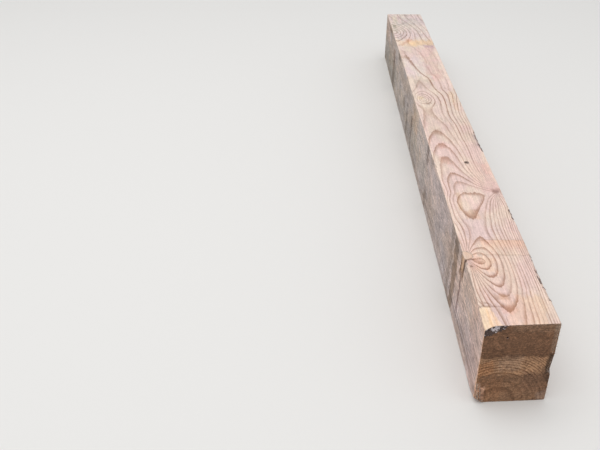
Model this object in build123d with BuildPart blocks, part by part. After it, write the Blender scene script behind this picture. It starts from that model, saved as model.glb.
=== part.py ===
"""A short length of sawn softwood: one solid piece, sawn on four sides and cut off at both ends.

Sizes are in millimetres and angles in degrees. X runs across the piece, Y along it and Z up. The
origin is in the middle of the underside. The near end, at low Y, was cut off a little out of
square. A station is a distance along the piece from the near end's foremost corner.
"""

import os
from math import atan2, cos, degrees, hypot, radians, sin, sqrt, tan

from build123d import *

# Sawn section, length over both ends, and how far handling has rounded the arrises
width = 75.0
height = 100.0
length = 1090.0
arris_round = 0.6

# Near end: how far its cut is out of square in plan, and leans back from upright
end_skew = 4.3
end_lean = 1.9

# Log that the piece was sawn from: its radius, and its pith, left of the middle near the underside
log_radius = 97.0
pith_across = -15.0
pith_up = 3.0

# Sides of the piece, seen from the near end
left = -1
right = 1

# Swelling of the log by the near end's top left corner, where its outside is rounder
swelling_radius = 24.0

# Wane, where the log's round outside comes through a top arris: the side, the station of its
# middle, its run along the arris, its reach over the top and down the side, and how round it is
corner_wane = (left, 0.0, 90.0, 14.0, 5.0, swelling_radius)
long_wane = (right, 88.0, 104.0, 3.4, 2.6, log_radius)
short_wane = (right, 213.0, 34.0, 2.2, 1.8, log_radius)
middle_wane = (right, 420.0, 76.0, 3.0, 2.2, log_radius)

# Corner broken off at the foot of the near end, on the left: its reach across, along and up
break_across = 9.0
break_along = 26.0
break_up = 7.0

# Chip out of the near end's right edge: its foot, deepest point and head above the underside, and
# its reach across and along
chip_foot = 35.0
chip_deepest = 39.0
chip_head = 61.0
chip_across = 5.5
chip_along = 4.0

# Spike knot, a branch cut along its length by the left side. It widens from the pith to the top,
# and has come away from the wood round its near half.
knot_station = 124.0
knot_across = -36.0
knot_radius = 8.4
knot_gap = 0.9
knot_gap_depth = 26.0
knot_gap_turn = 190.0

# Slivers torn from the top arrises: the side, the station where each is deepest, its run from
# there to nothing, and its reach over the top and down the side
knot_tear = (left, knot_station - knot_radius, -24.0, 2.4, 3.2)
left_tear = (left, 336.0, 24.0, 2.6, 3.0)
right_tear = (right, 869.0, 15.0, 2.6, 2.8)

# Dead pin knot sunk in the top, and the pin hole in the near end, placed from its left edge
pin_knot_station = 352.0
pin_knot_across = 7.5
pin_knot_radius = 3.2
pin_knot_depth = 1.2
pin_hole_across = 24.3
pin_hole_up = 84.7
pin_hole_radius = 1.1
pin_hole_depth = 6.0

# How far a cutting shape stands clear of the faces that it cuts
clear = 5.0

near_y = -length / 2
far_y = length / 2


def cut_wane(side, station, run, over_top, down_side, radius):
    """Let the log's round outside through a top arris, deepest at the station.

    Across the piece the outside is an arc. Along the piece it dips, so that it meets the arris
    again half a run away on either side.
    """
    chord = hypot(over_top, down_side)
    tilt = atan2(down_side, over_top)
    bow = radius - sqrt(radius**2 - chord**2 / 4)
    depth = over_top * down_side / chord - bow
    dip_radius = (run**2 / 4 + depth**2) / (2 * depth)
    half_turn = degrees(atan2(run / 2 + clear, dip_radius))
    middle = side * (down_side**2 - over_top**2) / (2 * chord)

    across = Vector(cos(tilt), 0, -side * sin(tilt))
    outward = Vector(side * sin(tilt), 0, cos(tilt))
    arris = Vector(side * width / 2, near_y + station, height)
    hub = arris + outward * (dip_radius - depth)
    section = Plane(origin=hub, x_dir=across, z_dir=(0, -1, 0)).rotated((-half_turn, 0, 0))
    with BuildSketch(section) as waste:
        with Locations((middle, -dip_radius)):
            Rectangle(2 * chord, 2 * chord)
        with Locations((middle, -dip_radius - radius)):
            Circle(radius, mode=Mode.SUBTRACT)
    revolve(waste.sketch, Axis(hub, across), revolution_arc=2 * half_turn, mode=Mode.SUBTRACT)


def tear_arris(side, station, run, over_top, down_side):
    """Tear a sliver from a top arris: a slope from its deepest station up to the arris."""
    arris = Vector(side * width / 2, near_y + station, height)
    top_point = arris + Vector(-side * over_top, 0, 0)
    side_point = arris + Vector(0, 0, -down_side)
    over_arris = arris + Vector(side * clear, 0, clear)
    slope_start = (top_point + side_point) * 0.5
    slope_end = arris + Vector(0, run, 0)
    above = top_point + (top_point - side_point)
    beside = side_point + (side_point - top_point)
    apex = slope_end + (slope_end - slope_start) * (clear / abs(run))
    with BuildSketch(Plane(origin=arris, x_dir=(1, 0, 0), z_dir=(0, -1, 0))) as torn:
        with BuildLine():
            corners = [(point - arris) for point in (above, beside, over_arris)]
            Polyline(*[(corner.X, corner.Z) for corner in corners], close=True)
        make_face()
    loft([torn.sketch.face(), Vertex(*apex)], mode=Mode.SUBTRACT)


def chip_right_edge(end_cut):
    """Chip the near end's right edge: a sliver that runs out to nothing along the right side."""
    edge = width / cos(radians(end_skew))
    with BuildSketch(end_cut) as mouth:
        with BuildLine():
            Polyline(
                (edge, chip_foot),
                (edge - chip_across, chip_deepest),
                (edge, chip_head),
                (edge + clear, chip_head),
                (edge + clear, chip_foot),
                close=True,
            )
        make_face()
    heart = end_cut.from_local_coords(Vector(edge - chip_across, chip_deepest, 0))
    tip = Vector(width / 2, heart.Y + chip_along, heart.Z)
    apex = tip + (tip - heart) * (clear / chip_across)
    loft([mouth.sketch.face(), Vertex(*apex)], mode=Mode.SUBTRACT)


with BuildPart() as batten:
    # Sawn blank
    with BuildSketch(Plane.XZ.offset(-far_y)) as blank_section:
        Rectangle(width, height, align=(Align.CENTER, Align.MIN))
        fillet(blank_section.vertices(), arris_round)
    extrude(amount=length)

    # Near end, sawn off a little out of square
    end_corner = Vector(-width / 2, near_y, 0)
    end_across = Vector(1, tan(radians(end_skew)), 0)
    end_upward = Vector(0, tan(radians(end_lean)), 1)
    end_cut = Plane(origin=end_corner, x_dir=end_across, z_dir=end_across.cross(end_upward))
    split(bisect_by=end_cut, keep=Keep.BOTTOM)

    # Wane, tears and the chip along the edges
    cut_wane(*corner_wane)
    cut_wane(*long_wane)
    cut_wane(*short_wane)
    cut_wane(*middle_wane)
    tear_arris(*knot_tear)
    tear_arris(*left_tear)
    tear_arris(*right_tear)
    chip_right_edge(end_cut)

    # Broken corner: the plane through its three reaches
    across_point = end_corner + Vector(break_across, 0, 0)
    along_point = end_corner + Vector(0, break_along, 0)
    up_point = end_corner + Vector(0, 0, break_up)
    break_normal = (along_point - across_point).cross(up_point - across_point)
    split(bisect_by=Plane(origin=across_point, z_dir=break_normal), keep=Keep.TOP)

    # Gap round the spike knot: a thin wedge turned about the branch, from its outer side round
    # by the near end
    pith = Vector(pith_across, near_y + knot_station, pith_up)
    knot_top = Vector(knot_across, near_y + knot_station, height)
    branch = knot_top - pith
    outer_side = branch.cross(Vector(0, 1, 0)) * -1
    with BuildSketch(Plane(origin=knot_top, x_dir=outer_side, z_dir=(0, -1, 0))) as gap_wedge:
        with BuildLine():
            outer_radius = knot_radius + knot_gap
            foot_radius = knot_radius * (1 - knot_gap_depth / branch.length)
            Polyline(
                (knot_radius, clear),
                (knot_radius, 0),
                (foot_radius, -knot_gap_depth),
                (outer_radius, 0),
                (outer_radius, clear),
                close=True,
            )
        make_face()
    revolve(axis=Axis(knot_top, branch), revolution_arc=knot_gap_turn, mode=Mode.SUBTRACT)

    # Pin knot in the top
    with BuildSketch(Plane.XY.offset(height)):
        with Locations((pin_knot_across, near_y + pin_knot_station)):
            Circle(pin_knot_radius)
    extrude(amount=-pin_knot_depth, mode=Mode.SUBTRACT)

    # Pin hole, square to the near end's cut
    with BuildSketch(end_cut):
        with Locations((pin_hole_across, pin_hole_up)):
            Circle(pin_hole_radius)
    extrude(amount=-pin_hole_depth, mode=Mode.SUBTRACT)

batten.part.label = "batten"
os.makedirs("parts", exist_ok=True)
export_step(batten.part, "parts/batten.step")
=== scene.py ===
"""The looks of a short length of sawn softwood: grain, knots, sawn faces, wanes, bark and splinters.

Lengths are in millimetres, and mm turns them into Blender's metres. As in the part, X runs across the
piece, Y along it and Z up, and a station is a distance from the near end's foremost corner.
"""

from collections import namedtuple
from itertools import product
from math import ceil, cos, radians, sin, tan
from random import Random

import bmesh
import bpy
import numpy as np
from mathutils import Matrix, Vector
from mathutils.bvhtree import BVHTree


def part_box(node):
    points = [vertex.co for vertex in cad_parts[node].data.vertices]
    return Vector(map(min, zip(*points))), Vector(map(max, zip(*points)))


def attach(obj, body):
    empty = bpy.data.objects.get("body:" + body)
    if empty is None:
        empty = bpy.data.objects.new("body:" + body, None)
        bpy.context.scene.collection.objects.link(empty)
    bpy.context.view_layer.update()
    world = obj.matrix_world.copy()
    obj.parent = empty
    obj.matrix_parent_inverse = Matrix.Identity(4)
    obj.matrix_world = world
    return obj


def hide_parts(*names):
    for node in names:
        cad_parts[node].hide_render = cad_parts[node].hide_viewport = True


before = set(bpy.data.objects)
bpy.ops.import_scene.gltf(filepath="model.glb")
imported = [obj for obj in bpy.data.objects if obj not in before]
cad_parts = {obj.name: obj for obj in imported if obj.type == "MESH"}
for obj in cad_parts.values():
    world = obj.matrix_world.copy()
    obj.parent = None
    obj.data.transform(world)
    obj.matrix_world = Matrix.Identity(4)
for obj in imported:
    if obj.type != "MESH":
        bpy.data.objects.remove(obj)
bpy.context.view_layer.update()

mm = 0.001

# The piece, from the frame, and its near end's cut
far_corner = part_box("batten")[1]
half_width = far_corner.x / mm
height = far_corner.z / mm
length = 1090.0
near_y = far_corner.y / mm - length
end_skew = 4.3
end_lean = 1.9

# The log: its pith, from which the branches run out
pith_across = -15.0
pith_up = 3.0
# Its rings are a little flatter than circles about the pith, and closer together outward
rings_middle_up = -6.0
ring_growth = 0.000521
ring_growth_power = 2.4

# Knots: where each meets the top, and its radius there. At the pith it has the least radius.
spike_knot = (-36.0, 124.0, 8.4)
pin_knot = (7.5, 352.0, 3.4)
least_knot = 0.1

# Pin hole in the near end: its place and radius, its wall behind the cut, and its tint, which is painted
# shade inside the hole
pin_hole = (-13.2, 84.7, 1.4)
hole_wall = (0.05, 8.0)
hole_shade = (0.12, 0.1, 0.09)

# Chip in the near end's right edge: its reach across, up and along, and its tint, which is painted shade in
# the chip
chip_inner = 31.0
chip_foot = 34.0
chip_head = 62.0
chip_behind = 14.0
chip_shade = (0.34, 0.34, 0.35)

# Bark on the near end: its foot at the left side, how fast that rises from there, how ragged and
# how soft it is, and the bark's palest place, across and up
bark_foot = 87.5
bark_rise = 0.024
bark_ragged = 1.2
bark_soft = 0.5
pale_bark = (-28.0, 95.5)

# Wanes that keep some bark: side, station, run, and reach over the top and down the side
barked_wanes = [(1, 88, 104, 3.4, 2.6), (1, 213, 34, 2.2, 1.8), (1, 420, 76, 3, 2.2)]

# Camera, from the photograph's vanishing lines
camera_place = (-207.98, -1072.95, 546.32)
camera_turn = -0.993
camera_pitch = 32.047
camera_lens = 42.45

# Light, in metres and watts
sky_strength = 0.68
lamp_place = (-0.5, -0.3, 2.6)
lamp_side = 2.4
lamp_power = 30

# Crest of the rings along the top: (station, rings), where fewer is older wood
crest_rings = [
    (0, -3.3), (27, -3.46), (50, -3.84), (67, -4.13), (83, -4.17), (99, -4.12), (112, -4.1), (143, -4.2),
    (168, -4.55), (185, -4.85), (203, -5.42), (220, -5.52), (240, -5.36), (258, -4.56), (267, -4.04),
    (295, -4.04), (323, -3.65), (370, -3), (413, -2.01), (462, -0.99), (520, -0.2), (580, 0), (626, 0.6),
    (678, 1.04), (720, 1.42), (760, 1.7), (800, 1.83), (826, 1.88), (838, 1.99), (860, 2.2), (900, 2.5),
    (1000, 3.2), (1090, 4),
]
# The same crest's line over the top: (station, across)
crest_line = [
    (0, -9), (60, -12), (112, -14), (166, -13), (203, -13), (237, -10), (268, -10), (300, -16), (372, -20),
    (416, -19), (466, -19), (520, -22), (580, -20), (680, -19), (700, -24), (740, -29), (780, -32),
    (838, -34), (1090, -35),
]

# How close the rings lie either side of the crest: (station, share)
ring_spread = [
    (0, 1), (300, 1), (400, 0.78), (480, 0.58), (570, 0.44), (610, 0.24), (650, 0.06), (1090, 0.05),
]
# How steadily they fall away from it where they lie flat: (station, rings for each millimetre)
crest_slopes = [
    (0, 0), (560, 0), (600, 0.018), (640, 0.055), (700, 0.045), (740, 0.034), (780, 0.022), (838, 0.024),
    (900, 0.04), (1090, 0.05),
]

# Sways of the grain: how far, the size of their features across, along and up, and their seed
long_sway = (0.8, 60, 55, 60, 11)
short_sway = (0.3, 14, 24, 14, 12)
jags = (1.5, 9, 30, 9, 13)

# Rings drawn in to a knot: its place, how many, how far along on its near and far sides, and their
# share by the angle round the knot, from the far side (0) over the top (90) to the near side (180)
drawn_to_spike = (-35, 118, 6.5, 55, 38, [
    (-180, -0.35), (-90, -0.1), (-20, -0.05), (0, 0), (12, 0.45), (30, 0.9), (60, 1), (130, 1), (150, 0.92),
    (164, 0.5), (180, -0.35),
])
drawn_to_side = (32.4, 267, 8.7, 24.5, 24.5, [
    (-180, 0.05), (-165, 0.3), (-150, 0.65), (-125, 0.95), (-90, 1), (-55, 0.95), (-30, 0.65), (-15, 0.3),
    (0, 0.05), (90, -0.1), (180, 0.05),
])
# Swells under the top, which show as closed loops: place, rings, reach across, near and far, and
# how round the swell's top is, where 1 is a point
swells = [
    (-19, 112, 0.9, 7, 8, 8, 1.5),
    (-22, 258, 0.9, 14, 43, 33, 3),
    (-21.5, 581, 4.2, 10.5, 15, 24, 1.4),
    (-37, 956, 4.6, 32, 40, 46, 1.7),
]

# How dark each ring's line is, from the innermost that shows on the top
first_line = -9
line_strengths = [0.8, 1, 1, 0.95, 0.6, 0.9, 0.75, 0.75, 0.85, 0.55, 0.5, 1.15]
# How far the lines waver, in rings
line_waver = 0.23
# Past the bold line they fade on the top's far half: over which rings and stations, and by how much
fading_rings = (2.1, 2.5)
fading_run = (610, 670)
fading = 0.55
# The lines grow narrower between two stations: the part of a ring where they start, and their darkest
narrowing_run = (300, 760)
line_starts = (0.34, 0.68)
line_peak = 0.95
# Where they are darker or fainter: place across, run along, soft edge, share, and lowest height
Shading = namedtuple("Shading", "place run soft share lowest", defaults=[-10])
line_shading = {
    "faint in the pale corner": ((-50, -23), (-20, 32), 2, 0.35, 90),
    "darker fan by the spike knot": ((-39, -12), (36, 104), 8, 1.35),
    "fainter beside the side knot": ((26, 39), (285, 430), 12, 0.45),
    "darker in the middle": ((-39, 39), (430, 700), 30, 1.12),
    "darker by the rounded knot": ((-39, 39), (562, 606), 12, 1.8),
    "fainter left of it": ((-39, -28), (560, 604), 5, 0.4),
    "fainter bold tip": ((-39, -31), (806, 845), 10, 0.3),
    "darker by the far end": ((-39, 39), (920, 1100), 30, 2.9),
    "fainter at the far end": ((-39, 39), (1026, 1100), 20, 0.55),
}


# Numbers: smooth lines, and noise that is the same on every run

def smooth_line(at, points):
    """A smooth line's value at each place, through (place, value) points without overshoot."""
    places, values = np.array(points, float).T
    gaps = np.diff(places)
    slopes = np.diff(values) / gaps
    before, after = slopes[:-1], slopes[1:]
    same_way = before * after > 0
    tangents = np.zeros_like(values)
    tangents[1:-1] = np.where(same_way, 2 * before * after / np.where(same_way, before + after, 1), 0)
    i = np.clip(np.searchsorted(places, at) - 1, 0, len(gaps) - 1)
    t = np.clip((at - places[i]) / gaps[i], 0, 1)
    ends = values[i] * (1 + 2 * t) * (1 - t) ** 2 + values[i + 1] * t * t * (3 - 2 * t)
    return ends + gaps[i] * (tangents[i] * t * (1 - t) ** 2 - tangents[i + 1] * t * t * (1 - t))


def lattice(i, j, k, seed):
    """A fixed pseudo-random number from -1 to 1 for each whole place."""
    h = (i.astype(np.uint32) * np.uint32(374761393) + j.astype(np.uint32) * np.uint32(668265263)
         + k.astype(np.uint32) * np.uint32(2246822519) + np.uint32(seed * 3266489 + 1))
    h = (h ^ (h >> np.uint32(13))) * np.uint32(1274126177)
    h = (h ^ (h >> np.uint32(16))) * np.uint32(2654435761)
    return (h ^ (h >> np.uint32(15))).astype(np.float64) / 2147483647.5 - 1


def noise(x, y, z, seed):
    """Smooth noise from -1 to 1, with features about one unit wide."""
    cells = [np.floor(v).astype(np.int64) for v in (x, y, z)]
    fades = [(v - c) ** 3 * ((v - c) * ((v - c) * 6 - 15) + 10) for v, c in zip((x, y, z), cells)]
    total = np.zeros_like(x, dtype=float)
    for corner in product((0, 1), repeat=3):
        weight = np.ones_like(total)
        for fade, onward in zip(fades, corner):
            weight *= fade if onward else 1 - fade
        total += weight * lattice(*[c + onward for c, onward in zip(cells, corner)], seed)
    return total


def layered(x, y, z, seed, layers=3):
    """Noise with finer layers added, each half as strong."""
    return sum(noise(x * 2**n, y * 2**n, z * 2**n, seed + n) / 2**n for n in range(layers))


def uneven(places, kind, share=1, layers=3):
    """Noise of one kind in millimetres, by each point's share of it."""
    reach, *sizes, seed = kind
    return share * reach * layered(*[place / size for place, size in zip(places, sizes)], seed, layers)


def step_up(value, low, high):
    """0 below low, 1 above high, and smooth between."""
    t = np.clip((value - low) / (high - low), 0, 1)
    return t * t * (3 - 2 * t)


def within(value, low, high, soft):
    """1 between low and high, and 0 past a soft distance outside them."""
    return step_up(value, low - soft, low) * (1 - step_up(value, high, high + soft))


def end_station(across, up):
    """The station of the near end's cut at a place on it."""
    return (across + half_width) * tan(radians(end_skew)) + up * tan(radians(end_lean))


# Growth rings

def depth_share(up):
    """How far up from the pith to the top a point is, from 0 to 1."""
    return np.clip((up - pith_up) / (height - pith_up), 0, 1)


def age_at(radius):
    """Rings from their middle out to a radius."""
    return ring_growth * radius**ring_growth_power


def drawn_rings(across, station, up, knot):
    """How many rings a knot draws in at each point."""
    knot_across, knot_station, rings, near_reach, far_reach, fan = knot
    middle = pith_across + (knot_across - pith_across) * depth_share(up)
    sideways = across - middle
    along = station - knot_station
    distance = np.hypot(sideways, along)
    angle = np.degrees(np.arctan2(sideways, along))
    nearness = 0.5 - 0.5 * along / (distance + 1e-6)
    reach = far_reach + (near_reach - far_reach) * nearness
    return rings * np.exp(-distance / reach) * smooth_line(angle, fan) * depth_share(up) ** 1.5


def ring_at(across, station, up):
    """The growth ring at each point, counted from the one at the top's middle."""
    across = across + uneven((across, station, up), long_sway, layers=1)
    across = across + uneven((across, station, up), short_sway, layers=1)
    station = station + uneven((across, station, up), jags, layers=1)
    share = depth_share(up)
    middle = pith_across + (smooth_line(station, crest_line) - pith_across) * share**2
    radius = np.hypot(across - middle, up - rings_middle_up)
    spread = 1 + (smooth_line(station, ring_spread) - 1) * share**2
    top_age = age_at(height - rings_middle_up)
    ring = (age_at(radius) - top_age) * spread + smooth_line(station, crest_rings) * share
    ring += smooth_line(station, crest_slopes) * (np.hypot(across - middle, 3) - 3) * share**2
    ring -= drawn_rings(across, station, up, drawn_to_spike)
    ring -= drawn_rings(across, station, up, drawn_to_side)
    for swell_across, swell_station, rings, reach, near_reach, far_reach, roundness in swells:
        sideways = (across - swell_across) / reach
        along = station - swell_station
        along = along / np.where(along < 0, near_reach, far_reach)
        ring -= rings * np.exp(-np.hypot(sideways, along) ** roundness) * share**2
    return ring


def line_share(across, station, up, ring):
    """How dark the lines are at each point, where 1 is as listed."""
    share = np.ones_like(across)
    for values in line_shading.values():
        shading = Shading(*values)
        there = within(across, *shading.place, shading.soft) * within(station, *shading.run, shading.soft)
        share *= 1 + there * (up > shading.lowest) * (shading.share - 1)
    return share * (1 - fading * (step_up(ring, *fading_rings) * step_up(station, *fading_run)))


# Marks that tint the wood: place across (or up, on the sides), run along (or up, on the near end),
# how soft and how ragged the edge is, the tint, how far it leans across for each millimetre along,
# and over how far it fades in from its near side
Mark = namedtuple("Mark", "place run soft ragged tint lean fade", defaults=[0, 0])
top_marks = {
    "pale corner": ((-50, -18), (-9, 33), 0.8, 1.6, (1.18, 1.165, 0.985), -0.2),
    "orange line by it": ((-31, -29.6), (0, 30), 0.6, 0.7, (1, 0.93, 0.82), -0.05),
    "second orange line": ((-25.5, -24.5), (3, 26), 0.6, 0.7, (1, 0.94, 0.86), -0.12),
    "row of pits past it": ((-39, -27), (33, 35), 0.5, 1.8, (0.66, 0.61, 0.56)),
    "end of that row": ((-27, -14), (33, 34.5), 0.5, 1.4, (0.72, 0.68, 0.66)),
    "pits behind it": ((-31, -26), (38, 40.5), 0.8, 1.8, (0.74, 0.7, 0.66)),
    "orange streaks": ((-6, 24), (8, 50), 7, 6, (1.03, 0.975, 0.89)),
    "orange near edge": ((-14, 36), (-9, 8), 4, 4, (1.05, 1.02, 0.96)),
    "first loop's tip": ((-15, -4), (25, 36), 3, 2, (0.95, 0.86, 0.83)),
    "second loop's tips": ((-16, -4), (38, 62), 3, 2, (1.04, 1.06, 1.08)),
    "brown between them": ((-16, -4), (48, 54), 2.5, 1.5, (0.84, 0.78, 0.7)),
    "warm wood in the loops": ((-28, -8), (96, 120), 6, 4, (1.04, 0.98, 0.91)),
    "warm by the spike knot": ((-39, 8), (50, 126), 10, 6, (1, 0.965, 0.955)),
    "loops' dark heart": ((-23, -19), (109, 114), 0.8, 0.8, (0.82, 0.75, 0.7)),
    # The crack and its inner end are painted dark: painted shade in the crack.
    "crack on its near side": ((-39, -32.5), (114.6, 117.2), 0.5, 0.7, (0.42, 0.36, 0.33)),
    "crack's inner end": ((-32.5, -28), (115.8, 118.4), 0.5, 0.7, (0.5, 0.43, 0.39)),
    "dark dot before it": ((-33.4, -30.8), (101.5, 104.5), 0.5, 0.3, (0.5, 0.45, 0.42)),
    "warm band": ((-39, 39), (126, 156.5), 0.4, 0.2, (1, 0.98, 0.95)),
    "its warmer far edge": ((-13, 39), (130, 156), 0.5, 0.2, (1.04, 0.955, 0.87), 0, 22),
    "band's near edge": ((-22, 39), (125.2, 126.6), 0.3, 0.3, (0.8, 0.79, 0.77)),
    "band's far edge": ((-16, 39), (156, 157.4), 0.3, 0.2, (0.83, 0.81, 0.79)),
    "grey past the band": ((-20, 12), (168, 200), 12, 6, (0.97, 0.99, 1.02)),
    "shield's warm tip": ((-17, -5), (204, 222), 3, 2, (0.96, 0.89, 0.81)),
    "shield's warm foot": ((-25, -21), (222, 266), 1.5, 1, (0.96, 0.91, 0.8), 0.08),
    "shield's pale middle": ((-14, -2), (232, 256), 5, 3, (1.04, 1.03, 1.02)),
    "side knot": ((25, 38), (267, 276), 1.5, 1.5, (0.75, 0.68, 0.66)),
    "side knot's heart": ((27, 34), (269, 274), 1, 1.2, (0.76, 0.74, 0.74)),
    "pink wood past it": ((12, 39), (274, 350), 9, 6, (1, 0.95, 0.96)),
    "right pink streak": ((28, 34), (318, 346), 3, 2, (1, 0.93, 0.93)),
    "third pointed ring": ((-27, -17), (350, 366), 4, 2.5, (0.97, 0.88, 0.85)),
    "fourth pointed ring": ((-21, -13), (400, 412), 3.5, 2, (0.97, 0.87, 0.85)),
    "fifth pointed ring": ((-22, -13), (446, 460), 4, 2.5, (0.89, 0.86, 0.83)),
    "small dark speck": ((-6, -3), (499, 504), 1, 1, (0.84, 0.82, 0.81)),
    "right orange streak": ((24, 30), (535, 618), 2, 1.5, (1.01, 0.96, 0.89)),
    "rounded knot's near side": ((-19, -12), (560, 568), 2, 1.5, (0.72, 0.69, 0.68)),
    "rounded knot's heart": ((-30, -23), (583, 592), 2.5, 1.5, (1, 0.98, 0.86)),
    "dark speck beyond it": ((21, 24), (628, 634), 1, 0.8, (0.84, 0.8, 0.78)),
    "dark tip beyond it": ((-21, -17), (669, 675), 1.5, 1, (0.84, 0.85, 0.83)),
    "pale patch": ((-30, -8), (500, 548), 9, 5, (1.03, 1.04, 1.02)),
    "less red beyond it": ((-39, 39), (500, 862), 24, 6, (0.968, 1, 0.998)),
    "grey fill beyond it": ((-24, -8), (634, 670), 8, 4, (0.87, 0.87, 0.86)),
    "pink patch": ((8, 18), (668, 702), 4, 2, (1, 0.94, 0.94)),
    "grey wood beyond it": ((-32, -4), (694, 790), 12, 8, (1, 1.04, 1.1)),
    "pink streak": ((8, 24), (690, 850), 9, 7, (0.98, 0.91, 0.92)),
    # The pale arrises are partly pale frayed fibres and partly a painted highlight.
    "pale arris": ((33, 39), (640, 860), 5, 4, (1.06, 1.05, 1.05)),
    "pale left arris": ((-39, -36), (150, 1100), 1.2, 0.8, (1.09, 1.09, 1.07)),
    "purple stain": ((15, 31), (851, 866), 3, 3, (0.8, 0.73, 0.82)),
    "yellow band": ((-5, 36), (874, 896), 12, 6, (0.98, 0.9, 0.745)),
    "pale yellow beside it": ((-30, -6), (868, 894), 10, 5, (1.08, 1.05, 0.96)),
    "red brown streak": ((-34, -28), (866, 902), 3, 2, (0.84, 0.74, 0.71), 0.7),
    "grey spot": ((-32, -28), (988, 1008), 2.5, 1.5, (0.72, 0.74, 0.68)),
    "far pink streak": ((-19, -12), (1018, 1070), 3, 2, (1, 0.93, 0.96)),
    "far green tint": ((-29, -21), (1026, 1074), 3, 2, (1, 1.02, 0.94)),
    "far dark streak": ((-17, -13), (1004, 1022), 1.5, 1.5, (0.78, 0.77, 0.76), 0.3),
    "shade by the arris": ((-39, -29), (962, 1015), 6, 4, (0.93, 0.94, 0.92)),
    "far dark specks": ((1, 5), (1073, 1082), 1.5, 1, (0.8, 0.78, 0.8)),
    "grey far end": ((-39, 39), (920, 1100), 30, 12, (0.905, 0.98, 1.03)),
    "darker far corner": ((-20, 30), (1010, 1060), 8, 5, (0.94, 0.96, 0.98)),
    "grey beside the wane": ((34, 39), (402, 442), 1.5, 1.5, (0.68, 0.7, 0.76)),
    "darker beside it": ((28, 39), (398, 450), 5, 4, (0.875, 0.865, 0.87)),
    "darker past the wane": ((-24, 39), (426, 498), 12, 6, 0.945),
}
side_marks = {
    "warm near end": ((-9, 109), (-9, 40), 20, 8, (1.04, 0.97, 0.935)),
    "its orange edge": ((-9, 109), (-9, 3.5), 1, 0.8, (1.3, 1.13, 0.93)),
    "low dark specks": ((0, 50), (4, 100), 14, 12, (0.95, 0.94, 0.95)),
    "cool wood, low": ((-9, 40), (24, 300), 24, 8, (0.98, 0.99, 1.02)),
    "pale by the spike knot": ((40, 80), (80, 111), 12, 6, (1.13, 1.13, 1.14)),
    "brown band": ((-9, 109), (148, 167), 2.5, 2.5, (0.54, 0.49, 0.42)),
    "fainter brown band": ((-9, 109), (177, 190), 5, 4, (0.73, 0.72, 0.7)),
    "darker foot": ((-9, 22), (40, 1100), 20, 6, (0.91, 0.92, 0.93)),
    "paler upper part": ((66, 109), (200, 1100), 20, 6, (1.05, 1.03, 1.04)),
    "darker far foot": ((-9, 44), (870, 1100), 22, 8, (0.87, 0.88, 0.84)),
    "spike knot's near edge": ((72, 100), (112.5, 116), 0.8, 1, (0.38, 0.28, 0.2)),
    "spike knot's far edge": ((70, 96), (127, 130.5), 0.8, 1.2, (0.46, 0.37, 0.28)),
    "spike knot": ((74, 101), (115, 127), 1, 1, (0.66, 0.59, 0.52)),
    "spike knot's heart": ((80, 98), (118.5, 124), 1.5, 1.5, (1.26, 1.2, 1.08)),
    "dark line below it": ((22, 76), (120, 124.5), 1.5, 1.6, (0.5, 0.43, 0.42)),
    "darker past it": ((-9, 78), (120, 146), 6, 3, (0.93, 0.925, 0.95)),
    "grey wood": ((-9, 109), (220, 1100), 60, 10, (0.88, 0.93, 0.97)),
    "greyer farther on": ((-9, 109), (560, 1100), 70, 10, (0.88, 0.91, 0.885)),
    "dark upper mark": ((72, 101), (400, 412), 3, 4, (0.58, 0.55, 0.52)),
    "its foot": ((-9, 34), (396, 406), 4, 4, (0.66, 0.63, 0.61)),
    "green tint": ((40, 90), (420, 540), 30, 14, (0.98, 1, 0.96)),
    "orange patch": ((60, 101), (520, 580), 10, 6, (1.13, 1.05, 0.95)),
    "darker below it": ((-9, 66), (512, 676), 20, 8, (0.945, 0.945, 0.95)),
    "low dark mark": ((4, 64), (583, 594), 3, 4, (0.56, 0.52, 0.49)),
    "second low mark": ((6, 62), (645, 656), 4, 5, (0.64, 0.62, 0.6)),
    "dark blob": ((42, 56), (690, 706), 4, 3, (0.62, 0.6, 0.58)),
    "dark under the arris": ((88, 101), (796, 824), 4, 4, (0.52, 0.5, 0.46)),
    "far brown band": ((4, 74), (884, 916), 8, 6, (0.68, 0.63, 0.6)),
    "dark blob in it": ((59, 67), (884, 898), 3, 3, (0.5, 0.46, 0.42)),
    "dark by the far arris": ((90, 101), (960, 1010), 4, 4, (0.7, 0.63, 0.56)),
    "warm far end": ((60, 101), (1010, 1080), 12, 6, (1.06, 0.98, 0.92)),
}
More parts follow.
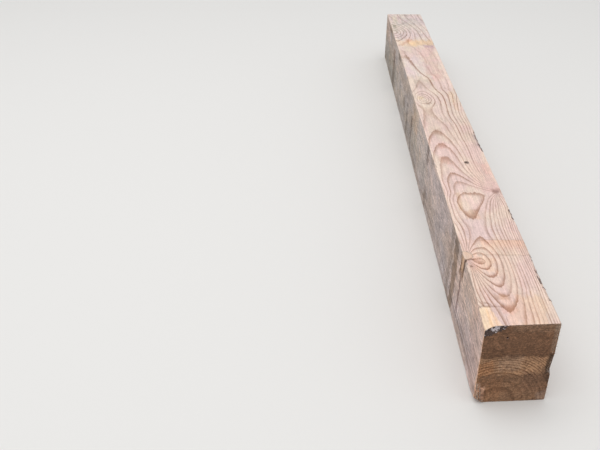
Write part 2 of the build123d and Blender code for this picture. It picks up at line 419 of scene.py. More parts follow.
end_marks = {
    # On the end a band of light across the middle is painted in. The upper and lower parts, and the wood
    # just above and under the band, are painted darker as shade. The band's bright right side is painted
    # light.
    "upper part": ((-39, 39), (60, 109), 0.8, 1, (0.535, 0.49, 0.485)),
    "pale upper edge": ((-8, 39), (92, 109), 3, 1.2, (1.2, 1.3, 1.4)),
    "its paler rim": ((-4, 39), (96, 109), 1, 0.8, (1.14, 1.19, 1.25)),
    "darker above the band": ((-30, 39), (58, 70), 3, 1.5, (0.88, 0.865, 0.85)),
    "dark line": ((-39, 39), (59, 62.5), 0.8, 0.8, 0.86),
    "band": ((-39, 39), (37, 58), 0.8, 1, (0.95, 0.96, 0.98)),
    "band's bright right side": ((4, 31), (37, 50), 4, 2, (1.16, 1.17, 1.16)),
    "band's pale patch": ((-18, 4), (46, 60), 4, 3, (1.06, 1.14, 1.26)),
    "band's orange left side": ((-39, -26), (38, 52), 4, 3, (1.1, 0.98, 0.86)),
    "lower part": ((-39, 39), (-9, 36), 0.8, 1, (0.68, 0.66, 0.66)),
    "darker under the band": ((-30, 39), (27, 35), 2.5, 1.5, (0.88, 0.885, 0.895)),
    "paler foot": ((-24, 39), (-9, 11), 3, 1.5, (1.1, 1.13, 1.17)),
    # The dark chip, its edge and the edge under it are painted shade in and below the chip.
    "dark chip": ((32.2, 39), (36, 60), 0.5, 1.2, (0.32, 0.32, 0.33)),
    "chip's edge": ((29.5, 33.5), (37, 46), 1.5, 1.5, (0.74, 0.73, 0.74)),
    "edge under the chip": ((34.5, 39), (24, 37), 1, 1.5, (0.62, 0.62, 0.64)),
    "dark right side": ((12, 39), (16, 36), 6, 2, (0.87, 0.86, 0.9)),
    "grey right edge": ((34, 39), (68, 99), 1.6, 2.2, (1.35, 1.6, 1.9)),
    "pale right corner": ((31, 39), (-9, 12), 2, 2.5, (1.15, 1.3, 1.6)),
    "orange foot, left": ((-30, -12), (6, 30), 6, 4, (1.08, 1.01, 0.95)),
    "broken corner": ((-39, -29.5), (0, 23), 2.5, 2.4, (1.9, 2.15, 2.75)),
    # The gap is painted dark: painted shade in the gap.
    "gap in the broken corner": ((-34.4, -33), (6, 18), 0.6, 1.2, (0.5, 0.48, 0.46), 0.15),
    "wood by the pin hole": ((-11, -7), (84, 87), 1.5, 0.6, 1.25),
}


def tint_from(marks, sideways, along, seed):
    """The tint of a face's marks at each point, red, green and blue."""
    side_rags, end_rags, end_share = (7, 15), (5, 22), 1.5
    tint = np.ones((len(sideways), 3))
    places = sideways, along, np.zeros_like(sideways)
    for n, values in enumerate(marks.values()):
        mark = Mark(*values)
        to_side = uneven(places, (mark.ragged, *side_rags, 1, seed + 2 * n))
        onward = uneven(places, (end_share * mark.ragged, *end_rags, 1, seed + 2 * n + 1))
        leaning = mark.lean * (along - mark.run[0])
        share = within(sideways - leaning + to_side, *mark.place, mark.soft)
        share *= within(along + onward, *mark.run, mark.soft)
        if mark.fade:
            share *= step_up(along, mark.run[0], mark.run[0] + mark.fade)
        tint *= 1 + share[:, None] * (np.array(mark.tint) - 1)
    return tint


def finished(mesh, name):
    """The mesh with its faces turned outward, ready for the scene."""
    made = bpy.data.meshes.new(name)
    bmesh.ops.recalc_face_normals(mesh, faces=mesh.faces)
    mesh.to_mesh(made)
    mesh.free()
    return made


def in_scene(data):
    """A mesh, a lamp or a camera as an object of the scene, by its own name."""
    made = bpy.data.objects.new(data.name, data)
    bpy.context.scene.collection.objects.link(made)
    return made


# The piece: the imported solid's own surface, cut into cells

cut_slack = 0.001
cell_inset = 1.5
cell_across = 1.5
cell_up = 1.65
sharp_angle = 42
cell_along = [(0, 1.5), (140, 1.6), (200, 2.2), (300, 3.0), (560, 4.0), (640, 4.0), (1090, 6.5)]


def even_planes(low, high, cell, axis):
    """Planes square to an axis, a cell apart or a little less: (point, normal)."""
    cells = ceil((high - low) / cell)
    for n in range(cells + 1):
        yield Vector(axis) * (low + (high - low) * n / cells), axis


def station_planes():
    """Planes across the piece, turned to the near end's cut near it: (point, normal)."""
    turn_run = 150.0
    coarser = 1
    station = cell_along[0][1]
    while station < length - cell_along[0][1]:
        share = max(0.0, 1 - station / turn_run)
        normal = (-tan(radians(end_skew)) * share, 1, -tan(radians(end_lean)) * share)
        yield (-half_width, near_y + station, 0), normal
        station += coarser * float(smooth_line(np.array([station]), cell_along)[0])


def cut_across(mesh, planes):
    """Cut a mesh along planes in turn, each past the one before."""
    slack = cut_slack * mm
    rest = mesh.verts[:] + mesh.edges[:] + mesh.faces[:]
    for point, normal in planes:
        point, normal = Vector(point) * mm, Vector(normal).normalized()
        parts = bmesh.ops.bisect_plane(mesh, geom=rest, dist=slack, plane_co=point, plane_no=normal)["geom"]
        verts = [item for item in parts if isinstance(item, bmesh.types.BMVert)]
        others = [item for item in parts if not isinstance(item, bmesh.types.BMVert)]
        past = {v for v in verts if (v.co - point).dot(normal) > -2 * slack}
        rest = list(past) + [item for item in others if all(v in past for v in item.verts)]


def celled_mesh(node):
    """A copy of the node's mesh, cut into cells that are finer by the near end."""
    knot_reach = 14.0
    round_facet = 0.17
    flat_angle = radians(0.3)
    mesh = bmesh.new()
    mesh.from_mesh(node.data)
    bmesh.ops.remove_doubles(mesh, verts=mesh.verts, dist=cut_slack * mm)
    bmesh.ops.dissolve_degenerate(mesh, edges=mesh.edges, dist=cut_slack * mm)
    plain = [v for v in mesh.verts if abs(v.co.y / mm - near_y - spike_knot[1]) > knot_reach]
    bmesh.ops.remove_doubles(mesh, verts=plain, dist=round_facet * mm)
    bmesh.ops.dissolve_limit(
        mesh, angle_limit=flat_angle, verts=mesh.verts, edges=mesh.edges, use_dissolve_boundaries=False)
    cut_across(mesh, even_planes(-half_width + cell_inset, half_width - cell_inset, cell_across, (1, 0, 0)))
    cut_across(mesh, even_planes(cell_inset, height - cell_inset, cell_up, (0, 0, 1)))
    cut_across(mesh, station_planes())
    return finished(mesh, "batten_wood")


# Relief: how far the surface stands in from the solid's, in millimetres. For each kind of
# roughness: how deep, the size of its features across, along and up, and its seed

swayed = (0.1, 40, 70, 40, 21)
raised_grain = (0.05, 6, 45, 6, 22)
saw_waves = (0.1, 22, 9, 22, 24)
saw_grooves = (0.07, 3.2, 28, 3.2, 26)
end_roughness = (0.12, 4, 4, 3, 28)
bark_roughness = (0.45, 2.6, 5, 2.6, 34)
mean_depth = 0.1
arris_reach = 1.3
arris_wear = 0.18
nick_depth = 0.9


def face_weights(normals):
    """How far each point belongs to the top, to the other sawn sides and to the ends."""
    x, y, z = normals.T
    top, left, right, bottom, end = [step_up(facing, 0.5, 0.8) for facing in (z, -x, x, -z, np.abs(y))]
    return top, np.clip(left + right + bottom, 0, 1), end


def wane_at(across, station, up):
    """How far each point belongs to the log's outside, on a wane."""
    total = np.zeros_like(across)
    for side, middle, run, over_top, down_side in barked_wanes:
        dip = np.sqrt(np.clip(1 - ((station - middle) / (run / 2)) ** 2, 0, 1))
        inward = half_width - side * across
        share = inward / (over_top * dip + 0.01) + (height - up) / (down_side * dip + 0.01)
        total = np.maximum(total, (1 - step_up(share, 0.95, 1.12)) * (dip > 0))
    return total


def relief(places, normals):
    """The depth of the relief at each point, in from the surface."""
    across, station, up = places
    top, sawn, end = face_weights(normals)
    depth = mean_depth + uneven(places, swayed, layers=1)
    depth += uneven(places, raised_grain, top)
    depth += uneven(places, saw_waves, sawn)
    depth += uneven(places, saw_grooves, sawn)
    depth += uneven(places, end_roughness, end)
    nick = layered(station / 9 + np.sign(across) * 40, up / 60, across * 0, 31)
    depth += arris_at(*places) * (arris_wear + nick_depth * np.clip(nick - 0.25, 0, 1) ** 1.5)
    depth += uneven(places, bark_roughness, wane_at(*places))
    return depth


def arris_at(across, station, up):
    """How near each point is to a long arris, where 1 is on it."""
    from_side = half_width - np.abs(across)
    from_level = np.minimum(up, height - up)
    return np.exp(-np.hypot(from_side, from_level) / arris_reach)


def bark_under_top(across, up):
    """Bark left on the near end under the corner wane, thinner towards the middle."""
    foot = bark_foot + bark_rise * (across + half_width) ** 2
    foot += bark_ragged * layered(across / 4, up / 4, across * 0, 61)
    return step_up(up, foot - bark_soft, foot + bark_soft)


def in_pin_hole(across, station, up):
    """Whether each point is on the pin hole's wall, which is painted dark as shade inside the hole."""
    hole_across, hole_up, hole_radius = pin_hole
    behind = station - end_station(across, up)
    beside = np.hypot(across - hole_across, up - hole_up)
    return (beside < hole_radius) & (behind > hole_wall[0]) & (behind < hole_wall[1])


def values_of(items, name, width=1, kind=np.float32):
    """One or more values of each of a mesh's items, in rows."""
    values = np.zeros(len(items) * width, kind)
    items.foreach_get(name, values)
    return values.reshape(-1, width)


def paint(made, places):
    """Give each face's corners the tint of its side's marks and their share of bark."""
    facing_near, facing_up, facing_left, facing_right = -0.75, 0.7, -0.6, 0.9
    corners = values_of(made.loops, "vertex_index", kind=np.int32)[:, 0]
    sizes = values_of(made.polygons, "loop_total", kind=np.int32)[:, 0]
    x, y, z = np.repeat(values_of(made.polygons, "normal", 3), sizes, axis=0).T
    across, station, up = (values[corners] for values in places)
    near_end = y < facing_near
    top = (z > facing_up) & ~near_end
    left = (x < facing_left) & ~top & ~near_end
    tint = np.ones((len(corners), 4), np.float32)
    tint[top, :3] = tint_from(top_marks, across[top], station[top], 100)
    tint[left, :3] = tint_from(side_marks, up[left], station[left], 200)
    tint[near_end, :3] = tint_from(end_marks, across[near_end], up[near_end], 300)
    # The pin hole's wall is painted near black: painted shade inside the hole.
    tint[in_pin_hole(across, station, up), :3] = hole_shade
    # The chip's floor and back are painted dark: painted shade in the recess.
    in_chip = (across > chip_inner) & (up > chip_foot) & (up < chip_head) & (station < chip_behind)
    tint[in_chip & (x < facing_right) & ~near_end, :3] = chip_shade
    tint[:, 3] = wane_at(across, station, up)
    tint[near_end, 3] = bark_under_top(across[near_end], up[near_end])
    layer = made.attributes.new("tint", "FLOAT_COLOR", "CORNER")
    layer.data.foreach_set("color", tint.ravel())


def make_wood(node):
    """The wood: the solid's surface in cells, with relief and what its material reads."""
    made = celled_mesh(node)
    points = values_of(made.vertices, "co", 3).astype(float) / mm
    normals = values_of(made.vertices, "normal", 3).astype(float)
    places = points[:, 0], points[:, 1] - near_y, points[:, 2]
    moved = points - normals * relief(places, normals)[:, None]
    moved[:, 2] = np.clip(moved[:, 2], np.where(points[:, 2] < 1e-3, points[:, 2], 0), None)
    made.vertices.foreach_set("co", (moved * mm).astype(np.float32).ravel())
    rings = ring_at(*places)
    lines = line_share(*places, rings)
    for name, values in (("ring", rings), ("lines", lines), ("arris", arris_at(*places))):
        layer = made.attributes.new(name, "FLOAT", "POINT")
        layer.data.foreach_set("value", values.astype(np.float32))
    paint(made, places)
    made.polygons.foreach_set("use_smooth", np.ones(len(made.polygons), bool))
    made.set_sharp_from_angle(angle=radians(sharp_angle))
    made.update()
    return in_scene(made)


# Torn fibres and bark on the wood

# Torn fibres round the near end: from and to (across, up), how many, which way they point, their
# shortest and longest, and their thickness at the root
fringes = {
    "right edge, upper": ((37.1, 60), (37.1, 98), 34, (0.6, -0.8, 0.15), 0.6, 2.4, 0.6),
    "right edge, lower": ((37.1, 2), (37.1, 24), 22, (0.6, -0.8, 0.1), 0.6, 2.4, 0.6),
    "by the right edge": ((34.8, 62), (35.8, 97), 60, (0.3, -0.9, -0.1), 0.5, 1.5, 0.6),
    "in the chip": ((33, 38), (35.5, 58), 24, (0.4, -0.9, 0.1), 0.6, 1.8, 0.5),
    "bottom edge": ((-28, 0.7), (36, 0.7), 70, (0.1, -1, 0.1), 0.5, 1.8, 0.45),
    "top edge": ((-20, 99.3), (37, 99.3), 130, (0.1, -0.9, 0.35), 0.4, 1.5, 0.5),
    "left edge": ((-37.1, 12), (-37.1, 93), 60, (-0.6, -0.8, 0), 0.3, 1.2, 0.4),
    "broken corner, foot": ((-27, 1.5), (-33, 4.5), 34, (-0.3, -0.9, 0.2), 1, 3.4, 1.4),
    "broken corner, side": ((-34, 5), (-36.6, 26), 60, (-0.2, -0.9, 0.3), 0.8, 3, 1.5),
    "broken corner, inside": ((-31, 4), (-33.5, 22), 36, (-0.1, -0.9, 0.2), 0.8, 2.2, 1.6),
}
# Splinters on the arrises: root (across, station, up), direction, length and thickness
splinters = [
    ((-35.6, 336, 99), (-0.02, 1, 0.03), 21, 1.1),
    ((-36.6, 341, 98.2), (-0.01, 1, 0.04), 13, 0.8),
    ((-35, 112, 99.2), (0.02, -1, 0.03), 15, 0.9),
    ((36, 872, 99), (0.05, 1, 0.08), 16, 1.4),
]
# Bark flakes on the wanes: from and to along the right arris, how many, their shortest and longest
flakes = [
    (44, 50, 4, 1.2, 3),
    (62, 70, 5, 1.2, 3),
    (112, 124, 7, 1.2, 3),
    (203, 226, 16, 1.5, 3.5),
    (398, 440, 12, 1.2, 2.8),
]


def add_fibre(mesh, root, toward, length, thick, bend):
    """A closed, pointed fibre that bends a little to its tip."""
    sunk_share = 0.15
    root, forward = Vector(root), Vector(toward).normalized()
    side = forward.orthogonal().normalized()
    other = forward.cross(side)
    rings = []
    for share in (0.0, 0.35, 0.7):
        middle = root + forward * length * (share - sunk_share) + bend * length * share**2
        reach = thick / 2 * (1 - share) ** 0.6
        corners = [side * cos(turn) + other * sin(turn) for turn in (0.3, 2.5, 4.4)]
        rings.append([mesh.verts.new((middle + corner * reach) * mm) for corner in corners])
    tip = mesh.verts.new((root + forward * length * (1 - sunk_share) + bend * length) * mm)
    mesh.faces.new(rings[0][::-1])
    for low, high in zip(rings, rings[1:]):
        for n in range(3):
            mesh.faces.new((low[n], low[n - 2], high[n - 2], high[n]))
    for n in range(3):
        mesh.faces.new((rings[-1][n], rings[-1][n - 2], tip))


def fill_knot_gap(mesh):
    """Wood that still holds by the spike knot, but for a crack on the near side."""
    knot_across, knot_station, knot_radius = spike_knot
    inner, outer = knot_radius - 0.2, knot_radius + 1.1
    level = height - 0.12
    foot = level - 2.5
    first, last, steps = -42, 98, 24
    rings = []
    for n in range(steps + 1):
        turn = radians(first + (last - first) * n / steps)
        corners = []
        for radius, up in ((inner, level), (outer, level), (outer, foot), (inner, foot)):
            across = knot_across + radius * cos(turn)
            along = near_y + knot_station + radius * sin(turn)
            corners.append(mesh.verts.new(Vector((across, along, up)) * mm))
        rings.append(corners)
    for low, high in zip(rings, rings[1:]):
        for n in range(4):
            mesh.faces.new((low[n], low[n - 3], high[n - 3], high[n]))
    mesh.faces.new(rings[0][::-1])
    mesh.faces.new(rings[-1])


def random_vector(chance, reach):
    """A random vector, up to this reach along each axis."""
    return Vector([chance.uniform(-reach, reach) for _ in range(3)])


def make_fibres():
    """Torn fibres round the near end, and splinters along the arrises."""
    root_depth, stray, most_bend = 0.2, 0.5, 0.2
    chance = Random(4)
    mesh = bmesh.new()
    for start, stop, count, direction, shortest, longest, thickest in fringes.values():
        for _ in range(count):
            across, up = Vector(start).lerp(Vector(stop), chance.random())
            root = (across, near_y + end_station(across, up) + root_depth, up)
            length = chance.uniform(shortest, longest)
            toward = Vector(direction) + random_vector(chance, stray)
            toward.z = max(toward.z, 0.0)
            thick = thickest * chance.uniform(0.6, 1.0)
            bend = random_vector(chance, most_bend)
            bend.z = abs(bend.z)
            add_fibre(mesh, root, toward, length, thick, bend)
    fill_knot_gap(mesh)
    for (across, station, up), toward, length, thick in splinters:
        add_fibre(mesh, (across, near_y + station, up), toward, length, thick, Vector())
    return in_scene(finished(mesh, "batten_fibres"))


def make_bark(wood):
    """Flakes of bark that cling to the wanes on the right arris."""
    outside, scatter, breadth, thick, rough = 8, 1.6, 0.5, 0.6, 0.5
    inward = Vector((-1, 0, -1)).normalized()
    chance = Random(9)
    mesh = bmesh.new()
    surface = BVHTree.FromObject(wood, bpy.context.evaluated_depsgraph_get())
    for start, stop, count, shortest, longest in flakes:
        for _ in range(count):
            along = near_y + chance.uniform(start, stop)
            up = height + outside + chance.uniform(-scatter, scatter)
            place, normal, _, _ = surface.ray_cast(Vector((half_width + outside, along, up)) * mm, inward)
            if place is None:
                continue
            size = chance.uniform(shortest, longest)
            turned = normal.to_track_quat("Z", "Y").to_matrix()
            for vert in bmesh.ops.create_icosphere(mesh, subdivisions=2, radius=0.5)["verts"]:
                share = 1 + rough * chance.uniform(-1, 1)
                flat = Vector((vert.co.x * size * breadth, vert.co.y * size, vert.co.z * thick)) * share
                vert.co = place + turned @ flat * mm
    return in_scene(finished(mesh, "batten_bark"))


# Materials

# Noises in the wood: the size of their features across, along and up, detail and roughness
wood_noises = {
    "fibres": (0.5, 14, 0.5, 3, 0.6),
    "grit": (0.8, 1.0, 0.8, 3, 0.65),
    "specks": (1.1, 5.5, 1.1, 2, 0.6),
    "crumbs": (2.2, 3.5, 2.2, 3, 0.65),
    "scratches": (1.5, 30, 1.5, 3, 0.65),
    "streaks": (2.4, 90, 2.4, 3, 0.6),
    "blotches": (7, 17, 7, 3, 0.6),
    "far blotches": (6, 17, 6, 3, 0.65),
    "stains": (24, 48, 24, 2, 0.5),
    "patches": (26, 60, 26, 3, 0.55),
    "saw marks": (60, 1.8, 60, 3, 0.6),
    "end lines": (7, 7, 0.8, 3, 0.65),
    "wavering": (1.6, 10, 1.6, 2, 0.5),
}
# What makes each face lighter and darker: a noise, two values of it, and the tone at each
top_tones = [
    ("fibres", 0.3, 0.7, 0.9, 1.06),
    ("streaks", 0.3, 0.7, 0.88, 1.05),
    ("crumbs", 0.3, 0.7, 0.9, 1.05),
    ("blotches", 0.3, 0.7, 0.95, 1.04),
    ("grit", 0.3, 0.72, 0.9, 1.06),
]
far_tone = ("far blotches", 0.34, 0.6, 0.86, 1.06)
far_run = (880, 940)
side_tones = [
    ("specks", 0.3, 0.5, 0.6, 1.04),
    ("saw marks", 0.3, 0.7, 0.9, 1.07),
    ("crumbs", 0.3, 0.6, 0.78, 1.07),
    ("scratches", 0.32, 0.6, 0.76, 1.1),
    ("fibres", 0.3, 0.7, 0.84, 1.12),
    ("blotches", 0.32, 0.68, 0.83, 1.12),
    ("streaks", 0.3, 0.7, 0.8, 1.14),
    ("stains", 0.32, 0.68, 0.88, 1.1),
]
end_tones = [
    ("grit", 0.3, 0.7, 0.66, 1.26),
    ("crumbs", 0.32, 0.68, 0.66, 1.28),
    ("blotches", 0.32, 0.68, 0.86, 1.1),
    ("end lines", 0.3, 0.7, 0.78, 1.24),
]
# Heights over which the end's rings come up, and fade again: the painted band of light across the end
rings_rise = (30 * mm, 39 * mm)
rings_fade = (56 * mm, 62 * mm)


def colour(red, green, blue):
    """A screen colour, 11 to 255, as a linear colour."""
    linear = [((value / 255 + 0.055) / 1.055) ** 2.4 for value in (red, green, blue)]
    return (*linear, 1.0)


class Shader:
    """Short names for adding the nodes of one material."""

    def __init__(self, name, noises):
        self.material = bpy.data.materials.new(name)
        self.material.use_nodes = True
        self.tree = self.material.node_tree
        self.surface = self.tree.nodes["Principled BSDF"]
        coords = self.node("TexCoord")
        self.places = coords.outputs["Object"]
        self.normal = coords.outputs["Normal"]
        self.noises = {kind: self.noise(*values) for kind, values in noises.items()}

    def node(self, kind, inputs=(), **settings):
        made = self.tree.nodes.new("ShaderNode" + kind)
        for name, value in settings.items():
            setattr(made, name, value)
        for key, value in dict(inputs).items():
            self.put(made.inputs[key], value)
        return made

    def put(self, socket, value):
        """Link or set an input, where a tuple is a screen colour."""
        if isinstance(value, bpy.types.NodeSocket):
            self.tree.links.new(value, socket)
        else:
            socket.default_value = colour(*value) if isinstance(value, tuple) else value

    def noise(self, across, along, up, detail, roughness):
        """Noise with features of these sizes, in millimetres."""
        scale = [1 / (size * mm) for size in (across, along, up)]
        places = self.node("Mapping", {"Vector": self.places, "Scale": scale}).outputs[0]
        keys = {"Vector": places, "Scale": 1.0, "Detail": detail, "Roughness": roughness}
        return self.node("TexNoise", keys).outputs["Fac"]

    def split(self, vector):
        return self.node("SeparateXYZ", {0: vector}).outputs

    def attribute(self, name):
        return self.node("Attribute", attribute_name=name).outputs["Fac"]

    def math(self, operation, a, b=0.0, c=0.0):
        return self.node("Math", {0: a, 1: b, 2: c}, operation=operation).outputs[0]

    def minus(self, a, b):
        return self.math("SUBTRACT", a, b)

    def times(self, first, *others):
        """The product of all the values."""
        for other in others:
            first = self.math("MULTIPLY", first, other)
        return first

    def length(self, a, b):
        """The length of a line that runs a one way and b across it."""
        flat = self.node("CombineXYZ", {0: a, 1: b}).outputs[0]
        return self.node("VectorMath", {0: flat}, operation="LENGTH").outputs["Value"]

    def ramp(self, value, low, high, start=0.0, end=1.0):
        """A value, or a noise by name, from low to high as start to end."""
        value = self.noises[value] if isinstance(value, str) else value
        keys = {"Value": value, "From Min": low, "From Max": high, "To Min": start, "To Max": end}
        return self.node("MapRange", keys, interpolation_type="SMOOTHSTEP").outputs[0]

    def along(self, y, first, last, start=0.0, end=1.0):
        """From start to end between two stations."""
        return self.ramp(y, (near_y + first) * mm, (near_y + last) * mm, start, end)

    def mix(self, share, a, b, blend="MIX"):
        made = self.node("Mix", data_type="RGBA", blend_type=blend)
        self.put(made.inputs[0], share)
        self.put(made.inputs[6], a)
        self.put(made.inputs[7], b)
        return made.outputs[2]

    def tinted(self, base, tint):
        return self.mix(1.0, base, tint, "MULTIPLY")

    def toned(self, base, tones, *others):
        """A colour made lighter and darker by the tones and any other values."""
        tone = self.times(*[self.ramp(*values) for values in tones], *others)
        grey = self.node("CombineColor", {0: tone, 1: tone, 2: tone}).outputs[0]
        return self.tinted(base, grey)

    def finish(self, base, roughness):
        """The material, with its colour, and its roughness as a ramp."""
        self.put(self.surface.inputs["Base Color"], base)
        self.put(self.surface.inputs["Roughness"], self.ramp(*roughness))
        return self.material


def knot_distance(s, knot):
    """Distance from a knot's middle, where 1 is its edge on the top."""
    knot_across, knot_station, knot_radius = knot
    x, y, z = s.split(s.places)
    share = s.math("DIVIDE", s.minus(z, pith_up * mm), (height - pith_up) * mm)
    middle = s.math("MULTIPLY_ADD", share, (knot_across - pith_across) * mm, pith_across * mm)
    along = s.minus(y, (near_y + knot_station) * mm)
    radius = s.math("MAXIMUM", s.times(share, knot_radius * mm), least_knot * mm)
    return s.math("DIVIDE", s.length(s.minus(x, middle), along), radius)


def line_strength(s, inner_ring):
    """How dark a ring's line is: as listed, and past the list unlike its neighbours."""
    count = len(line_strengths)
    place = s.math("DIVIDE", s.minus(inner_ring, first_line - 1.5), count)
    listed = s.node("ValToRGB", {0: place})
    steps = listed.color_ramp
    steps.interpolation = "CONSTANT"
    steps.elements.remove(steps.elements[1])
    for n, share in enumerate(line_strengths):
        step = steps.elements[0] if n == 0 else steps.elements.new(n / count)
        step.color = (share, share, share, 1)
    turn = s.math("FRACT", s.math("MULTIPLY_ADD", inner_ring, 0.618, 0.36))
    unlike = s.math("MULTIPLY_ADD", turn, 0.6, 0.5)
    is_listed = s.times(s.math("GREATER_THAN", place, 0.0), s.math("LESS_THAN", place, 1.0))
    keys = {"Factor": is_listed, "A": unlike, "B": listed.outputs["Color"]}
    return s.node("Mix", keys).outputs["Result"]


def late_wood(s, y):
    """How much of each point is late wood: a line at the outside of each ring."""
    waver = s.times(s.minus(s.noises["wavering"], 0.5), line_waver)
    ring = s.math("ADD", s.attribute("ring"), waver)
    part = s.math("FRACT", ring)
    start = s.along(y, *narrowing_run, *line_starts)
    rise = s.math("POWER", s.ramp(part, start, line_peak), 1.7)
    fall = s.ramp(part, line_peak - 0.005, 1.0, 1.0, 0.0)
    strength = s.times(
        line_strength(s, s.math("FLOOR", ring)),
        s.ramp("patches", 0.3, 0.7, 0.8, 1.15),
        s.ramp("specks", 0.25, 0.75, 0.8, 1.2),
        s.attribute("lines"))
    return s.times(rise, fall, strength)


def top_wood(s, late, y):
    """The top: pale pinkish wood with red brown lines, more mottled by the far end."""
    early = s.mix(s.ramp("patches", 0.38, 0.62), (244, 220, 204), (241, 211, 203))
    mottling = s.math("POWER", s.ramp(*far_tone), s.along(y, *far_run))
    return s.toned(s.mix(late, early, (188, 149, 131)), top_tones, mottling)


def side_wood(s, late):
    """The sides: weathered wood with faint lines and saw marks, warmer in places."""
    wood = s.toned(s.mix(late, (219, 199, 190), (187, 163, 152)), side_tones)
    return s.tinted(wood, s.mix(s.ramp("patches", 0.38, 0.62), (255, 248, 240), (250, 250, 252)))


def end_grain(s, late, z):
    """The ends: dark, rough grain whose rings show best in a painted band of light across the middle."""
    shown = s.times(s.ramp(z, *rings_rise, 0.5, 1.05), s.ramp(z, *rings_fade, 1.0, 0.4))
    return s.toned(s.mix(s.times(late, shown), (170, 130, 98), (112, 74, 48)), end_tones)


def with_knots(s, wood, y, top):
    """The wood with the spike knot, its rings and rim, and the dead pin knot in the top."""
    spike = s.math("ADD", knot_distance(s, spike_knot), s.ramp("grit", 0.3, 0.7, -0.06, 0.06))
    rings = s.ramp(s.math("FRACT", s.times(spike, 3.4)), 0.4, 1.0, 0.0, 0.5)
    near_side = s.along(y, spike_knot[1] - 4, spike_knot[1], 0.7, 0.2)
    wood = s.mix(s.times(s.ramp(spike, 1.0, 1.1, 1.0, 0.0), near_side), wood, (176, 140, 118))
    spike_wood = s.mix(rings, (230, 203, 184), (198, 164, 142))
    wood = s.mix(s.ramp(spike, 0.9, 0.98, 1.0, 0.0), wood, spike_wood)
    pin = s.ramp(knot_distance(s, pin_knot), 0.9, 1.15, 1.0, 0.0)
    pin_wood = s.mix(s.ramp("grit", 0.35, 0.65), (84, 72, 66), (150, 134, 124))
    return s.mix(s.times(pin, top), wood, pin_wood)


def with_bark(s, wood, share, x, z, end):
    """The wood with bark over it: flecks on the wanes, and dark on the near end."""
    flecked = s.math("MAXIMUM", s.ramp("blotches", 0.5, 0.56), s.ramp(end, 0.4, 0.6))
    end_bark = s.mix(s.ramp("grit", 0.35, 0.65), (50, 38, 34), (98, 80, 74))
    wane_bark = s.mix(s.ramp("grit", 0.35, 0.65), (92, 74, 68), (150, 126, 116))
    away = s.length(s.minus(x, pale_bark[0] * mm), s.minus(z, pale_bark[1] * mm))
    paleness = s.math("ADD", s.noises["crumbs"], s.ramp(away, 2 * mm, 7 * mm, 0.1, -0.06))
    bark = s.mix(s.ramp(paleness, 0.54, 0.6), s.mix(end, wane_bark, end_bark), (200, 190, 192))
    return s.mix(s.times(s.ramp(share, 0.3, 0.6), flecked), wood, bark)


def fine_relief(s, late, top):
    """Relief too fine for the mesh: late wood, fibres, and rough sawn faces."""
    rough = s.times(s.minus(1.0, top), 0.5)
    heights = s.math("MULTIPLY_ADD", late, 0.12, s.times(s.noises["fibres"], 0.16))
    sawn = s.times(s.math("ADD", s.noises["specks"], s.noises["grit"]), rough)
    heights = s.math("ADD", heights, sawn)
    return s.node("Bump", {"Height": heights, "Distance": mm, "Strength": 0.8}).outputs[0]


def wood_material():
    """Sawn softwood: rings, fibres, knots, stains, painted light and shade, bark and end grain."""
    s = Shader("sawn_softwood", wood_noises)
    normal = s.split(s.normal)
    x, y, z = s.split(s.places)
    top = s.ramp(normal[2], 0.55, 0.75)
    end = s.ramp(s.math("ABSOLUTE", normal[1]), 0.6, 0.75)
    late = late_wood(s, y)
    wood = s.mix(end, s.mix(top, side_wood(s, late), top_wood(s, late, y)), end_grain(s, late, z))
    wood = with_knots(s, wood, y, top)
    tint = s.node("Attribute", attribute_name="tint")
    wood = s.tinted(wood, tint.outputs["Color"])
    # Pale arrises, less on the ends: frayed fibres, and partly a painted highlight along the edges.
    fray_and_highlight = s.math("MULTIPLY_ADD", end, -0.35, 0.6)
    arris = s.times(s.attribute("arris"), s.ramp("specks", 0.3, 0.55), fray_and_highlight)
    wood = s.mix(arris, wood, (244, 226, 210))
    wood = with_bark(s, wood, tint.outputs["Alpha"], x, z, end)
    s.surface.inputs["Specular IOR Level"].default_value = 0.3
    s.put(s.surface.inputs["Normal"], fine_relief(s, late, top))
    return s.finish(wood, ("fibres", 0.3, 0.7, 0.72, 0.9))


def fibre_material():
    """Pale torn fibres, greyer in places."""
    s = Shader("torn_fibres", {"patches": (3, 3, 3, 2, 0.5), "fine": (0.6, 1.5, 0.6, 2, 0.6)})
    fibre = s.mix(s.ramp("patches", 0.4, 0.6), (228, 208, 188), (160, 142, 132))
    return s.finish(s.toned(fibre, [("fine", 0.3, 0.7, 0.65, 1.05)]), ("fine", 0.3, 0.7, 0.75, 0.9))


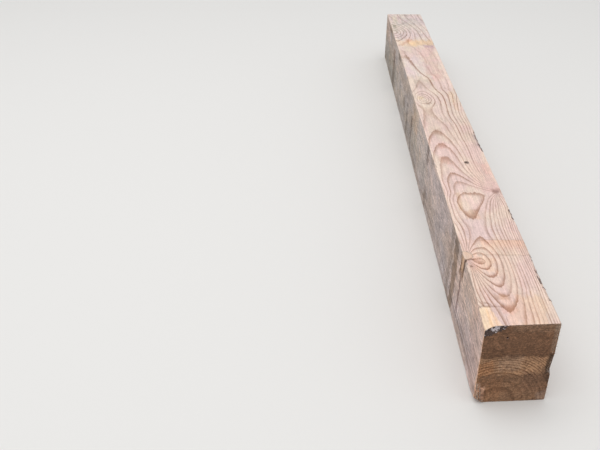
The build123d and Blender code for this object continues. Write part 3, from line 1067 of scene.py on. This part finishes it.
def bark_material():
    """Dark inner bark with a purplish tone and paler crumbs."""
    s = Shader("bark", {"crumbs": (1.2, 1.8, 1.2, 3, 0.6), "patches": (8, 12, 8, 2, 0.5)})
    bark = s.mix(s.ramp("patches", 0.35, 0.65), (92, 74, 70), (128, 102, 92))
    bark = s.mix(s.ramp("crumbs", 0.52, 0.62), bark, (170, 152, 144))
    return s.finish(bark, ("crumbs", 0.3, 0.7, 0.8, 0.95))


def floor_material():
    """Plain, pale and dull."""
    s = Shader("pale_floor", {})
    s.surface.inputs["Roughness"].default_value = 0.85
    s.put(s.surface.inputs["Base Color"], (232, 231, 229))
    return s.material


def make_floor():
    """A plain pale floor under the piece."""
    bpy.ops.mesh.primitive_plane_add(size=14, location=(0, 2, 0))
    floor = bpy.context.object
    floor.name = "floor"
    floor.data.materials.append(floor_material())


def make_light():
    """Soft light: a pale sky all round and one large lamp overhead."""
    world = bpy.data.worlds.new("studio")
    bpy.context.scene.world = world
    world.use_nodes = True
    sky = world.node_tree.nodes["Background"]
    sky.inputs["Color"].default_value = (1, 1, 1, 1)
    sky.inputs["Strength"].default_value = sky_strength
    lamp = bpy.data.lights.new("overhead", "AREA")
    lamp.shape = "SQUARE"
    lamp.size = lamp_side
    lamp.energy = lamp_power
    placed = in_scene(lamp)
    placed.location = lamp_place
    placed.rotation_euler = (-placed.location).to_track_quat("-Z", "Y").to_euler()


def make_camera():
    """The photograph's viewpoint: its place, its turn and its pitch down."""
    lens = bpy.data.cameras.new("camera")
    lens.sensor_width = 36
    lens.lens = camera_lens
    lens.clip_start = 0.01
    camera = in_scene(lens)
    camera.location = Vector(camera_place) * mm
    camera.rotation_euler = (radians(90 - camera_pitch), 0, -radians(camera_turn))
    bpy.context.scene.camera = camera


make_camera()
make_light()
make_floor()
bpy.context.scene.view_settings.view_transform = "Standard"

wood = make_wood(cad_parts["batten"])
fibres = make_fibres()
bark = make_bark(wood)
for piece, material in ((wood, wood_material()), (fibres, fibre_material()), (bark, bark_material())):
    piece.data.materials.append(material)
    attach(piece, "root")
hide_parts("batten")
